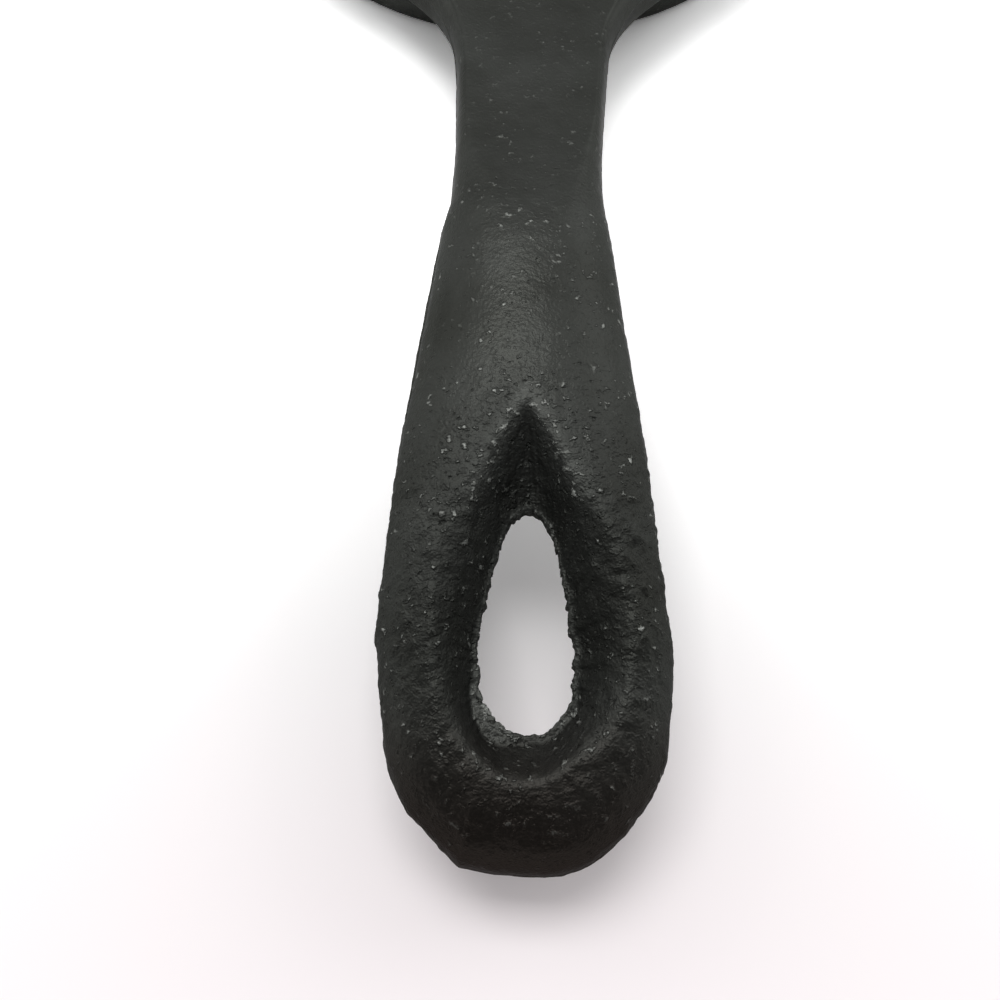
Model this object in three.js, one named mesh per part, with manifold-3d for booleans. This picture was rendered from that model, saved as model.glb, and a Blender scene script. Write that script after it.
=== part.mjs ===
// A cast iron baking pan in the outline of a gingerbread man. A handle grows out of the top of the head,
// swells into a grip and ends in a sunk teardrop with a hang hole. The real pan is one sand casting.
// Its features are separate solids here, parted on flat planes where they meet face to face.
// Millimetres, +Z up. The origin is on the flat underside, below the belly. The handle points to -Y.

import * as THREE from 'three';
import { mergeVertices } from 'three/addons/utils/BufferGeometryUtils.js';
import Module from 'manifold-3d';

const wasm = await Module();
wasm.setup();

// Figure, measured round the foot of the cavity wall
const HEAD_RADIUS = 38;
const NECK_HALF_WIDTH = 27;
const NECK_FILLET = 13;
const NECK_STRAIGHT = 4;
const HAND_RADIUS = 17.5;
const HAND_REACH = 58;
const ARM_ABOVE_BELLY = 22;
const ARMPIT_FILLET = 13;
const WAIST_HALF_WIDTH = 30;
const CROTCH_BELOW_BELLY = 44;
const CROTCH_FILLET = 12.5;
const LEG_LENGTH = 24;
const LEG_SPREAD = 4;
const FOOT_RADIUS = 20;

// Section through the pan
const PAN_HEIGHT = 17;
const FLOOR_THICKNESS = 4;
const WALL_AT_BASE = 4;
const RIM_WIDTH = 4.3;
const CAVITY_DRAFT = THREE.MathUtils.degToRad(10);
const FLOOR_FILLET = 4.5;
const BASE_EDGE_RADIUS = 3;
const RIM_EDGE_RADIUS = 1.2;

// Handle outline, measured along its parting line from the tip. The neck is narrowest at a share of the length.
const HANDLE_LENGTH = 107;
const GRIP_END_RADIUS = 13.3;
const GRIP_BELLY_HALF_WIDTH = 14.4;
const GRIP_BELLY_FROM_TIP = 22;
const GRIP_HEEL_HALF_WIDTH = 12.7;
const GRIP_HEEL_FROM_TIP = 40;
const HANDLE_NECK_HALF_WIDTH = 8.45;
const HANDLE_NECK_HOLLOW = 60;
const HANDLE_NECK_SHARE = 0.71;
const FLARE_GROWTH = 0.45;
const FLARE_FILLET = 22;
const FLARE_FROM_RIM = 16;

// Handle section and its arch
const HANDLE_NECK_THICKNESS = 8;
const GRIP_THICKNESS = 11.6;
const GRIP_SLIMS_FROM_TIP = 62;
const GRIP_SLIMMING_RUN = 18;
const HANDLE_EDGE_ROUNDING = 6;
const GRIP_RISE = 3.6;
const CREST_FROM_TIP = 60;
const TIP_DROOP = 6;
const UNDER_FLARE_DROP = 4;
const WALL_OVERLAP = 1.6;

// Hang hole and the sloping recess round it, alike above and below
const HANG_HOLE_FROM_TIP = 12.4;
const HANG_HOLE_LENGTH = 21.7;
const HANG_HOLE_HALF_WIDTH = 4.7;
const HANG_HOLE_WEB = 1.2;
const RECESS_SIDE_MARGIN = 2.4;
const RECESS_TIP_MARGIN = 4.2;
const RECESS_APEX_MARGIN = 9.8;
const TEARDROP_TAPER = 0.6;
const EYE_BEYOND_RECESS = 2;

// Relief on the floor of the cavity
const EYE_RADIUS = 4.4;
const EYE_HEIGHT = 2.2;
const EYE_APART = 27;
const EYE_ABOVE_FACE_CENTRE = 9;
const SMILE_RADIUS = 17;
const SMILE_WIDTH = 3.6;
const SMILE_HEIGHT = 2;
const SMILE_HALF_SPAN = THREE.MathUtils.degToRad(62);
const BUTTON_RADIUS = 5;
const BUTTON_HEIGHT = 2.4;
const BUTTON_PITCH = 24;
const ICING_WIDTH = 3.2;
const ICING_HEIGHT = 1.8;
const ICING_WAVE = 1.5;
const ICING_WAVES = 3;
const ICING_END_MARGIN = 1.2;
const CUFF_FROM_HAND_CENTRE = 9;
const ANKLE_FROM_FOOT_CENTRE = 9;

// Fineness of the facets, and the reach of the cutters: the hang hole's in recess depths past its edge,
// and the boxes' past every edge
const FIGURE_STEP = THREE.MathUtils.degToRad(13);
const HANDLE_STEP = THREE.MathUtils.degToRad(15);
const HANDLE_RUN = 9;
const TEARDROP_POINTS = 32;
const ROUND_POINTS = 28;
const ROUND_STEPS = 3;
const EDGE_STEPS = 4;
const PAST_FACE = 2;
const FAR = 1000;

const mod = (angle) => THREE.MathUtils.euclideanModulo(angle, 2 * Math.PI);

// A belt laid round a chain of circles, counterclockwise. A circle's r is positive where the outline
// bulges and negative where it is hollow. Moving the outline outwards adds the offset to every r, so the
// belt keeps its directions and its number of points. Straight runs are divided where a run is given.
function belt(circles, offset, step, run = Infinity) {
  const headings = circles.map((circle, i) => {
    const next = circles[(i + 1) % circles.length];
    const distance = Math.hypot(next.x - circle.x, next.y - circle.y);
    const towards = Math.atan2(next.y - circle.y, next.x - circle.x);
    return towards - Math.asin((next.r - circle.r) / distance);
  });
  const touch = (circle, heading) => new THREE.Vector2(
    circle.x + (circle.r + offset) * Math.sin(heading),
    circle.y - (circle.r + offset) * Math.cos(heading),
  );
  return circles.flatMap((circle, i) => {
    const before = headings.at(i - 1);
    const turn = circle.r > 0 ? mod(headings[i] - before) : -mod(before - headings[i]);
    const steps = 2 * Math.ceil(Math.abs(turn) / step / 2);
    const arc = Array.from({ length: steps + 1 }, (_, k) => touch(circle, before + turn * k / steps));
    const next = touch(circles[(i + 1) % circles.length], headings[i]);
    const leave = arc.at(-1);
    const pieces = Math.ceil(leave.distanceTo(next) / run) || 1;
    const straight = Array.from({ length: pieces - 1 }, (_, k) => leave.clone().lerp(next, (k + 1) / pieces));
    return [...arc, ...straight];
  });
}

// Mirrors a chain that starts and ends on the centre line, to close it round the other side
const mirrored = (chain) => chain.slice(1, -1).reverse().map(({ x, y, r }) => ({ x: -x, y, r }));

// Points on a quarter round, from one angle to the other in degrees
function rounded(x, z, radius, from, to) {
  return Array.from({ length: ROUND_STEPS + 1 }, (_, k) => {
    const angle = THREE.MathUtils.degToRad(from + (to - from) * k / ROUND_STEPS);
    return [x + radius * Math.cos(angle), z + radius * Math.sin(angle)];
  });
}

// Lid over a ring, cut into triangles as it lies in plan
function planLid(ring) {
  return THREE.ShapeUtils.triangulateShape(ring.map((point) => new THREE.Vector2(point.x, point.y)), []);
}

// Lid of strips straight across a ring that is alike on both sides of the centre line
function crossLid(ring) {
  const count = ring.length;
  const tip = ring.reduce((best, point, i) => (point.y < ring[best].y ? i : best), 0);
  return Array.from({ length: count / 2 }, (_, k) => {
    const right = (tip + k) % count;
    const left = (tip - k + count) % count;
    const nextRight = (right + 1) % count;
    const nextLeft = (left - 1 + count) % count;
    return [[right, nextRight, left], [left, nextRight, nextLeft]];
  }).flat().filter(([a, b, c]) => a !== b && b !== c && c !== a);
}

// Closed skin over rings of equal length, stacked from the lowest to the highest
function skin(rings, lid) {
  const count = rings[0].length;
  const top = (rings.length - 1) * count;
  const triangles = [];
  for (const [a, b, c] of lid(rings[0])) triangles.push(a, c, b);
  for (let level = 0; level < top; level += count) {
    for (let i = 0; i < count; i += 1) {
      const next = (i + 1) % count;
      triangles.push(level + i, level + next, level + count + next);
      triangles.push(level + i, level + count + next, level + count + i);
    }
  }
  for (const [a, b, c] of lid(rings.at(-1))) triangles.push(top + a, top + b, top + c);
  const geometry = new THREE.BufferGeometry().setFromPoints(rings.flat());
  geometry.setIndex(triangles);
  return geometry;
}

// A closed geometry as a solid that can be joined and cut
function solid(geometry) {
  const bare = geometry.clone();
  bare.deleteAttribute('normal');
  bare.deleteAttribute('uv');
  const merged = mergeVertices(bare);
  return new wasm.Manifold(new wasm.Mesh({
    numProp: 3,
    vertProperties: new Float32Array(merged.attributes.position.array),
    triVerts: new Uint32Array(merged.index.array),
  }));
}

function geometryOf(body) {
  const mesh = body.getMesh();
  const geometry = new THREE.BufferGeometry();
  geometry.setAttribute('position', new THREE.BufferAttribute(new Float32Array(mesh.vertProperties), 3));
  geometry.setIndex(new THREE.BufferAttribute(new Uint32Array(mesh.triVerts), 1));
  return geometry;
}

// The share of a body that lies between two corners
function slice(body, low, high) {
  const size = high.map((value, axis) => value - low[axis]);
  const box = new THREE.BoxGeometry(...size).translate(...low.map((value, axis) => value + size[axis] / 2));
  return geometryOf(body.intersect(solid(box)));
}

// Figure outline: circles from the top of the head down the right side to the notch between the legs
const armTop = -ARM_ABOVE_BELLY - HAND_RADIUS;
const armBottom = -ARM_ABOVE_BELLY + HAND_RADIUS;
const neck = { x: NECK_HALF_WIDTH + NECK_FILLET, y: armTop - NECK_FILLET, r: -NECK_FILLET };
const headAboveNeck = Math.sqrt((HEAD_RADIUS + NECK_FILLET) ** 2 + NECK_STRAIGHT ** 2 - neck.x ** 2);
const head = { x: 0, y: neck.y - headAboveNeck, r: HEAD_RADIUS };
const hand = { x: HAND_REACH, y: -ARM_ABOVE_BELLY, r: HAND_RADIUS };
const armpit = { x: WAIST_HALF_WIDTH + ARMPIT_FILLET, y: armBottom + ARMPIT_FILLET, r: -ARMPIT_FILLET };
const foot = {
  x: CROTCH_FILLET + LEG_SPREAD + FOOT_RADIUS,
  y: CROTCH_BELOW_BELLY + LEG_LENGTH,
  r: FOOT_RADIUS,
};
const crotch = { x: 0, y: CROTCH_BELOW_BELLY + CROTCH_FILLET, r: -CROTCH_FILLET };
const rightSide = [head, neck, hand, armpit, foot, crotch];
const figure = [...rightSide, ...mirrored(rightSide)];

// Pan: an outer drafted block and a cavity, both figure outlines that grow with height. The cavity runs on
// down through the floor, because the walls are cut by it and the floor plate is not.
const rimInner = (PAN_HEIGHT - FLOOR_THICKNESS) * Math.tan(CAVITY_DRAFT);
const rimOuter = rimInner + RIM_WIDTH;
const figureRings = (profile) => profile.map(([offset, z]) => (
  belt(figure, offset, FIGURE_STEP).map((point) => new THREE.Vector3(point.x, point.y, z))
));
const outerProfile = [
  ...rounded(WALL_AT_BASE - BASE_EDGE_RADIUS, BASE_EDGE_RADIUS, BASE_EDGE_RADIUS, -90, 0),
  ...rounded(rimOuter - RIM_EDGE_RADIUS, PAN_HEIGHT - RIM_EDGE_RADIUS, RIM_EDGE_RADIUS, 0, 90),
];
const cavityProfile = [
  [-FLOOR_FILLET, -PAN_HEIGHT],
  ...rounded(-FLOOR_FILLET, FLOOR_THICKNESS + FLOOR_FILLET, FLOOR_FILLET, -90, 0),
  ...rounded(rimInner + RIM_EDGE_RADIUS, PAN_HEIGHT - RIM_EDGE_RADIUS, RIM_EDGE_RADIUS, 180, 90),
  [rimInner + RIM_EDGE_RADIUS, 2 * PAN_HEIGHT],
];
const outerBlock = solid(skin(figureRings(outerProfile), planLid));
const cavity = solid(skin(figureRings(cavityProfile), planLid));

// Handle: circles from the tip to a disc inside the head's wall, and how its middle and thickness run
const rimFront = head.y - HEAD_RADIUS - rimOuter;
const tip = rimFront - HANDLE_LENGTH;
const neckFromTip = HANDLE_NECK_SHARE * HANDLE_LENGTH;
const flareStart = rimFront - FLARE_FROM_RIM;
const flareHalfWidth = HANDLE_NECK_HALF_WIDTH + FLARE_GROWTH;
const rightEdge = [
  { x: 0, y: tip + GRIP_END_RADIUS, r: GRIP_END_RADIUS },
  { x: 0, y: tip + GRIP_BELLY_FROM_TIP, r: GRIP_BELLY_HALF_WIDTH },
  { x: 0, y: tip + GRIP_HEEL_FROM_TIP, r: GRIP_HEEL_HALF_WIDTH },
  { x: HANDLE_NECK_HALF_WIDTH + HANDLE_NECK_HOLLOW, y: tip + neckFromTip, r: -HANDLE_NECK_HOLLOW },
  { x: flareHalfWidth + FLARE_FILLET, y: flareStart, r: -FLARE_FILLET },
  { x: 0, y: head.y, r: HEAD_RADIUS + rimOuter - WALL_OVERLAP },
];
const handleOutline = [...rightEdge, ...mirrored(rightEdge)];
const rootLevel = PAN_HEIGHT - HANDLE_NECK_THICKNESS / 2;

function partingLevel(y) {
  const fromTip = y - tip;
  if (fromTip < CREST_FROM_TIP) {
    return rootLevel + GRIP_RISE - TIP_DROOP * (1 - fromTip / CREST_FROM_TIP) ** 2;
  }
  return rootLevel + GRIP_RISE * (1 - THREE.MathUtils.smoothstep(fromTip, CREST_FROM_TIP, HANDLE_LENGTH));
}

function halfThickness(y) {
  const slimming = THREE.MathUtils.smoothstep(y - tip - GRIP_SLIMS_FROM_TIP, 0, GRIP_SLIMMING_RUN);
  return THREE.MathUtils.lerp(GRIP_THICKNESS, HANDLE_NECK_THICKNESS, slimming) / 2;
}

function underside(y) {
  const drop = UNDER_FLARE_DROP * THREE.MathUtils.smoothstep(y, flareStart, rimFront);
  return -halfThickness(y) - drop;
}

// One ring round the handle's rounded edge, at an angle from straight down to straight up
function handleRing(angle) {
  const inset = HANDLE_EDGE_ROUNDING * (1 - Math.cos(angle));
  return belt(handleOutline, -inset, HANDLE_STEP, HANDLE_RUN).map(({ x, y }) => {
    const side = angle < 0 ? -underside(y) : halfThickness(y);
    return new THREE.Vector3(x, y, partingLevel(y) + side * Math.sin(angle));
  });
}

const handleRings = Array.from({ length: 2 * EDGE_STEPS + 1 }, (_, k) => (
  handleRing(Math.PI / 2 * (k - EDGE_STEPS) / EDGE_STEPS)
));
const handle = solid(skin(handleRings, crossLid));

// Hang hole: a teardrop, blunt towards the tip and pointed towards the pan, whose half width is
// sin(t) * sin(t / 2) ^ taper, brought to its greatest width, as its length runs along cos(t)
const teardropPeak = 2 * Math.sqrt(1 + TEARDROP_TAPER) / (2 + TEARDROP_TAPER)
  * ((1 + TEARDROP_TAPER) / (2 + TEARDROP_TAPER)) ** (TEARDROP_TAPER / 2);

function teardrop(halfWidth, blunt, apex) {
  return Array.from({ length: TEARDROP_POINTS }, (_, k) => {
    const t = 2 * Math.PI * k / TEARDROP_POINTS;
    const width = Math.sin(t) * Math.sin(t / 2) ** TEARDROP_TAPER / teardropPeak;
    return new THREE.Vector2(-halfWidth * width, tip + (blunt + apex) / 2 + (apex - blunt) / 2 * Math.cos(t));
  });
}

const holeApex = HANG_HOLE_FROM_TIP + HANG_HOLE_LENGTH;
const recessApex = holeApex + RECESS_APEX_MARGIN;
const hole = teardrop(HANG_HOLE_HALF_WIDTH, HANG_HOLE_FROM_TIP, holeApex);
const recess = teardrop(
  HANG_HOLE_HALF_WIDTH + RECESS_SIDE_MARGIN,
  HANG_HOLE_FROM_TIP - RECESS_TIP_MARGIN,
  recessApex,
);
const recessDepth = GRIP_THICKNESS / 2 - HANG_HOLE_WEB / 2;

// Ring of the cutter at a height from the parting line: 0 is at the hole's edge, 1 is at the recess's edge on
// the grip, and more is above it
function eyeRing(widening, height) {
  return hole.map((point, k) => {
    const wide = point.clone().lerp(recess[k], widening);
    return new THREE.Vector3(wide.x, wide.y, partingLevel(wide.y) + height);
  });
}

const eyeRings = [-1, 1].flatMap((side) => {
  const edge = eyeRing(0, side * HANG_HOLE_WEB / 2);
  const mouth = eyeRing(PAST_FACE, side * (HANG_HOLE_WEB / 2 + PAST_FACE * recessDepth));
  return side < 0 ? [mouth, edge] : [edge, mouth];
});
const eyeCutter = solid(skin(eyeRings, planLid));

// The casting without its floor, and the planes that part it into its features
const casting = outerBlock.add(handle).subtract(cavity).subtract(eyeCutter);
const eyeEnd = tip + recessApex + EYE_BEYOND_RECESS;
const gripEnd = (eyeEnd + flareStart) / 2;
const neckPlane = neck.y;
const waistPlane = armpit.y;

const pan = new THREE.Group();

function addPiece(name, geometry) {
  const iron = new THREE.MeshStandardMaterial({ color: 0x343633, roughness: 0.6, metalness: 0.4 });
  const piece = new THREE.Mesh(geometry, iron);
  piece.name = name;
  pan.add(piece);
  return piece;
}

// Floor, walls and rim
addPiece('base_plate', slice(outerBlock, [-FAR, -FAR, -FAR], [FAR, FAR, FLOOR_THICKNESS]));
addPiece('head_wall', slice(casting, [-FAR, rimFront, FLOOR_THICKNESS], [FAR, neckPlane, FAR]));
for (const [side, low, high] of [['left', -FAR, 0], ['right', 0, FAR]]) {
  addPiece(`${side}_arm_wall`, slice(casting, [low, neckPlane, FLOOR_THICKNESS], [high, waistPlane, FAR]));
  addPiece(`${side}_leg_wall`, slice(casting, [low, waistPlane, FLOOR_THICKNESS], [high, FAR, FAR]));
}

// Handle
addPiece('handle_flare', slice(casting, [-FAR, flareStart, -FAR], [FAR, rimFront, FAR]));
addPiece('handle_neck', slice(casting, [-FAR, gripEnd, -FAR], [FAR, flareStart, FAR]));
addPiece('handle_grip', slice(casting, [-FAR, eyeEnd, -FAR], [FAR, gripEnd, FAR]));
addPiece('hang_eye', slice(casting, [-FAR, -FAR, -FAR], [FAR, eyeEnd, FAR]));

// Relief that stands on the floor: domes for the eyes and buttons
function dome(radius, height) {
  const ball = (radius ** 2 + height ** 2) / (2 * height);
  const half = Math.asin(radius / ball);
  const profile = Array.from({ length: ROUND_STEPS + 1 }, (_, k) => {
    const angle = half * (1 - k / ROUND_STEPS);
    return new THREE.Vector2(ball * Math.sin(angle), height - ball * (1 - Math.cos(angle)));
  });
  profile[ROUND_STEPS].x = 0;
  return new THREE.LatheGeometry([new THREE.Vector2(0, 0), ...profile], ROUND_POINTS).rotateX(Math.PI / 2);
}

for (const [side, sign] of [['left', -1], ['right', 1]]) {
  const eye = addPiece(`${side}_eye`, dome(EYE_RADIUS, EYE_HEIGHT));
  eye.position.set(sign * EYE_APART / 2, head.y - EYE_ABOVE_FACE_CENTRE, FLOOR_THICKNESS);
}
for (const [place, row] of [['upper', -1], ['middle', 0], ['lower', 1]]) {
  const button = addPiece(`${place}_button`, dome(BUTTON_RADIUS, BUTTON_HEIGHT));
  button.position.set(0, row * BUTTON_PITCH, FLOOR_THICKNESS);
}

// Smile: a flat arc with round ends
function smileArc() {
  const inner = SMILE_RADIUS - SMILE_WIDTH / 2;
  const outer = SMILE_RADIUS + SMILE_WIDTH / 2;
  const start = Math.PI / 2 - SMILE_HALF_SPAN;
  const end = Math.PI / 2 + SMILE_HALF_SPAN;
  const corner = (angle) => [SMILE_RADIUS * Math.cos(angle), SMILE_RADIUS * Math.sin(angle)];
  const shape = new THREE.Shape();
  shape.absarc(0, 0, outer, start, end, false);
  shape.absarc(...corner(end), SMILE_WIDTH / 2, end, end + Math.PI, false);
  shape.absarc(0, 0, inner, end, start, true);
  shape.absarc(...corner(start), SMILE_WIDTH / 2, start + Math.PI, start + 2 * Math.PI, false);
  return new THREE.ExtrudeGeometry(shape, { depth: SMILE_HEIGHT, bevelEnabled: false, curveSegments: 10 });
}

addPiece('smile', smileArc()).position.set(0, head.y, FLOOR_THICKNESS);

// Icing lines: a wavy band across each wrist and ankle, its wave a sine along the band. A hand of -1
// turns the wave over, for the left limbs.
function icingBand(limbRadius, hand) {
  const length = 2 * (limbRadius - FLOOR_FILLET - ICING_END_MARGIN);
  const points = 8 * ICING_WAVES;
  const edge = (side) => Array.from({ length: points + 1 }, (_, k) => new THREE.Vector2(
    length * (k / points - 0.5),
    hand * ICING_WAVE * Math.sin(2 * Math.PI * ICING_WAVES * k / points) + side * ICING_WIDTH / 2,
  ));
  const shape = new THREE.Shape([...edge(-1), ...edge(1).reverse()]);
  return new THREE.ExtrudeGeometry(shape, { depth: ICING_HEIGHT, bevelEnabled: false });
}

const legLean = Math.atan2(foot.x - WAIST_HALF_WIDTH / 2, foot.y - waistPlane);
for (const [side, sign] of [['left', -1], ['right', 1]]) {
  const cuff = addPiece(`${side}_cuff`, icingBand(HAND_RADIUS, sign));
  cuff.position.set(sign * (HAND_REACH - CUFF_FROM_HAND_CENTRE), -ARM_ABOVE_BELLY, FLOOR_THICKNESS);
  cuff.rotation.z = Math.PI / 2;
  const ankle = addPiece(`${side}_ankle_band`, icingBand(FOOT_RADIUS, sign));
  ankle.position.set(
    sign * (foot.x - ANKLE_FROM_FOOT_CENTRE * Math.sin(legLean)),
    foot.y - ANKLE_FROM_FOOT_CENTRE * Math.cos(legLean),
    FLOOR_THICKNESS,
  );
  ankle.rotation.z = -sign * legLean;
}

export default pan;
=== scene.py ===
import math

import bpy
import numpy as np
from mathutils import Matrix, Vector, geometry


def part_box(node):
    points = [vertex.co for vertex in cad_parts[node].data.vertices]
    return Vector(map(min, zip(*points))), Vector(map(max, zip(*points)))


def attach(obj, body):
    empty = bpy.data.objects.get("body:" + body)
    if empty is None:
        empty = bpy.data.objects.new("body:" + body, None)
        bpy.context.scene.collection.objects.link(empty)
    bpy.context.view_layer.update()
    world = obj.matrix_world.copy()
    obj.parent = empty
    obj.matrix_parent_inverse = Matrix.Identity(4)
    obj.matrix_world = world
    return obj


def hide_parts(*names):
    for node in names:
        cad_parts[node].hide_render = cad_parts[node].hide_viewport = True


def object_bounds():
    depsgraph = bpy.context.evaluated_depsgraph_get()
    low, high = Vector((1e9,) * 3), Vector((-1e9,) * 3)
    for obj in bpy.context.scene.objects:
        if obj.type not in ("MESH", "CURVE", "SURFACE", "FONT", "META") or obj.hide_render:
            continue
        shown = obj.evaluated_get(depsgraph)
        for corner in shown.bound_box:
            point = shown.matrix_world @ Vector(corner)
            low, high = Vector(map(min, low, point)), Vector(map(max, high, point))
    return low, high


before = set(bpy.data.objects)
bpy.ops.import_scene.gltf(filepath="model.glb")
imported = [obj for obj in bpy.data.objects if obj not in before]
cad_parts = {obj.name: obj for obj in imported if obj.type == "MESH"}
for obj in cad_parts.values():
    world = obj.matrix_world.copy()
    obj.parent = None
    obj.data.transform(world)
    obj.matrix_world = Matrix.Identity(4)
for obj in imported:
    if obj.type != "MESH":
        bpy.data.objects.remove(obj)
cad_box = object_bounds()

# Pan body: floor, drafted walls and rim
# One sand casting in grey iron, about 4 mm thick. It leaves a two-part sand mould, so every wall leans
# outwards and every corner is round. Oil is baked on until it is black, and it has no other coating.

# Sizes are in millimetres, and heights are above the table
MM = 0.001
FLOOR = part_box("base_plate")[1].z / MM
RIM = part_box("head_wall")[1].z / MM
DRAFT = math.radians(10)
WALL_AT_BASE = 4.6
RIM_WIDTH = 4.3
FLOOR_FILLET = 4.5
RIM_ROUNDING = 1.2
BASE_ROUNDING = 2.4

# Figure outline at the foot of the cavity wall, as circles (x, y, radius) from the top of the head down
# the right side to the notch between the legs. A negative radius is a hollow of the outline.
HEAD = (0.0, -84.39, 38.0)
NECK = (40.0, -52.5, -13.0)
HAND = (58.0, -22.0, 17.5)
ARMPIT = (43.0, 8.5, -13.0)
FOOT = (36.5, 68.0, 20.0)
CROTCH = (0.0, 56.5, -12.5)
RIGHT_SIDE = [HEAD, NECK, HAND, ARMPIT, FOOT, CROTCH]

# Fineness of the mesh: round the outline, along the section, and over the flat floor and base
CIRCLE_POINTS = 400
OUTLINE_STEP = 0.95
SECTION_STEP = 1.0
FILLET_POINTS, RIM_POINTS, BASE_POINTS = 9, 6, 7
FILL_STEP = 1.4
RING_GAP = 0.7
INSIDE_ONLY = 1
SAME_PLACE = 1e-6


def closed_chain(side):
    """A chain of circles that starts and ends on the centre line, closed by its mirror image."""
    return side + [(-x, y, r) for x, y, r in side[-2:0:-1]]


def belt(circles, step):
    """Line laid counterclockwise round a chain of circles, as a belt round pulleys. From one circle to the
    next it follows their common tangent, whose heading is the bearing of the next centre less
    asin((next r - r) / distance). Gives points one step apart and the outward normals there, which are
    (sin heading, -cos heading)."""
    x, y, r = np.array(circles).T
    dx, dy, dr = (np.roll(values, -1) - values for values in (x, y, r))
    leaving = np.arctan2(dy, dx) - np.arcsin(dr / np.hypot(dx, dy))
    coming = np.roll(leaving, 1)
    turn = np.where(r > 0, (leaving - coming) % math.tau, -((coming - leaving) % math.tau))
    share = np.linspace(0, 1, CIRCLE_POINTS)
    heading = np.unwrap((coming[:, None] + turn[:, None] * share).ravel())
    heading = np.append(heading, heading[0] + math.tau)
    ring = np.append(np.repeat(np.arange(len(x)), len(share)), 0)
    line = np.stack([x[ring] + r[ring] * np.sin(heading), y[ring] - r[ring] * np.cos(heading)])
    run = np.append(0, np.cumsum(np.hypot(*np.diff(line))))
    at = np.linspace(0, run[-1], int(run[-1] / step), endpoint=False)
    heading = np.interp(at, run, heading)
    points = np.stack([np.interp(at, run, line[0]), np.interp(at, run, line[1])], 1)
    return points, np.stack([np.sin(heading), -np.cos(heading)], 1)


def arc(middle, radius, start, end, count):
    """Points on an arc of a section, middle + radius (cos, sin), from one angle to the other in degrees."""
    angle = np.radians(np.linspace(start, end, count))
    return np.stack([middle[0] + radius * np.cos(angle), middle[1] + radius * np.sin(angle)], 1)


def divided(line, step):
    """The line with each long run cut evenly into pieces of at most one step."""
    pieces = np.ceil(np.hypot(*np.diff(line, axis=0).T) / step).astype(int)
    at = np.concatenate([number + np.arange(count) / count for number, count in enumerate(pieces)])
    at = np.append(at, len(line) - 1)
    return np.stack([np.interp(at, np.arange(len(line)), column) for column in line.T], 1)


def quads(table, flip=False):
    """Faces between neighbours in a table of vertex numbers, each (i, j), (i + 1, j), (i + 1, j + 1),
    (i, j + 1), or the other way round."""
    faces = np.stack([table[:-1, :-1], table[1:, :-1], table[1:, 1:], table[:-1, 1:]], -1).reshape(-1, 4)
    return faces[:, ::-1] if flip else faces


def filled(ring, step):
    """Triangles that fill a flat ring: a triangular lattice of points inside it, at least a share of a step
    from its points, joined to the ring by a Delaunay triangulation. A point is inside where a line from it
    to the right crosses the ring an odd number of times. Gives the lattice points and the triangles,
    numbered from the ring's first point."""
    low, high = ring.min(0), ring.max(0)
    rows = np.arange(low[1], high[1], step * math.sqrt(0.75))
    x, y = np.meshgrid(np.arange(low[0], high[0], step), rows)
    x[1::2] += step / 2
    seeds = np.stack([x.ravel(), y.ravel()], 1)
    start, end = ring, np.roll(ring, -1, axis=0)
    above = (start[:, 1] > seeds[:, 1:]) != (end[:, 1] > seeds[:, 1:])
    rise = np.where(end[:, 1] == start[:, 1], 1, end[:, 1] - start[:, 1])
    crossing = start[:, 0] + (seeds[:, 1:] - start[:, 1]) * (end[:, 0] - start[:, 0]) / rise
    inside = (above & (crossing > seeds[:, :1])).sum(1) % 2 == 1
    clear = np.hypot(seeds[:, :1] - ring[:, 0], seeds[:, 1:] - ring[:, 1]).min(1) > RING_GAP * step
    seeds = seeds[inside & clear]
    flat = [tuple(point) for point in np.vstack([ring, seeds])]
    border = [list(range(len(ring)))]
    made = geometry.delaunay_2d_cdt(flat, [], border, INSIDE_ONLY, SAME_PLACE)
    triangles, sources = made[2], made[3]
    first = np.array([source[0] for source in sources])
    return seeds, first[np.array(triangles)]


# Layers of sand, each as (height, grain size, seed), and how coarse the skin is in the pan
BODY_SAND = [(0.1, 9.0, 1), (0.05, 2.6, 2)]
PAN_SKIN = 0.25
CORNER_PRIMES = np.array([73856093, 19349663, 83492791])
CHANCES = 65536


def smooth(value, start, end):
    """Smoothstep of a value from 0 at start to 1 at end: with a share p of the way, p squared (3 - 2 p)."""
    part = np.clip((value - start) / (end - start), 0, 1)
    return part * part * (3 - 2 * part)


def sand_noise(points, size, seed):
    """Smooth noise from -1 to 1: a random value at each corner of a cubic lattice with cells of that size,
    blended across the cell by the smoothstep of the place in it."""
    corner = np.floor(points / size).astype(np.int64)
    part = smooth(points / size - corner, 0, 1)
    values = np.random.default_rng(seed).uniform(-1, 1, CHANCES)
    noise = np.zeros(len(points))
    for step in np.ndindex(2, 2, 2):
        key = np.bitwise_xor.reduce((corner + step) * CORNER_PRIMES, axis=1) % CHANCES
        noise += np.prod(np.where(step, part, 1 - part), axis=1) * values[key]
    return noise


def sand_relief(points, layers):
    """Sum of layers of sand: each is its height times noise of its grain size."""
    return sum(height * sand_noise(points, size, seed) for height, size, seed in layers)


# Colours of the iron: black with baked oil, then what is torn or rubbed, bare and ground. The grey of
# rubbed places is partly a painted highlight, and the ground brown is partly painted shade.
DARK_OIL = (0.028, 0.029, 0.026, 1)
LIGHT_OIL = (0.046, 0.0482, 0.0448, 1)
TORN_AND_HIGHLIT_GREY = (0.095, 0.099, 0.092, 1)
BARE_GREY = (0.26, 0.269, 0.252, 1)
GROUND_BROWN_AND_SHADE = (0.024, 0.0185, 0.016, 1)
METAL_SHARE = 0.8
EDGE_GLOSS = (0.47, 0.47, 0.47, 1)

# Heights of the skin's finest forms
GRAIN_HEIGHT, WAVE_HEIGHT = 0.07, 0.08
LUMP_HEIGHT, PIT_DEPTH = 0.17, 0.17
LEAST_GRAIN = 0.035


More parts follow.
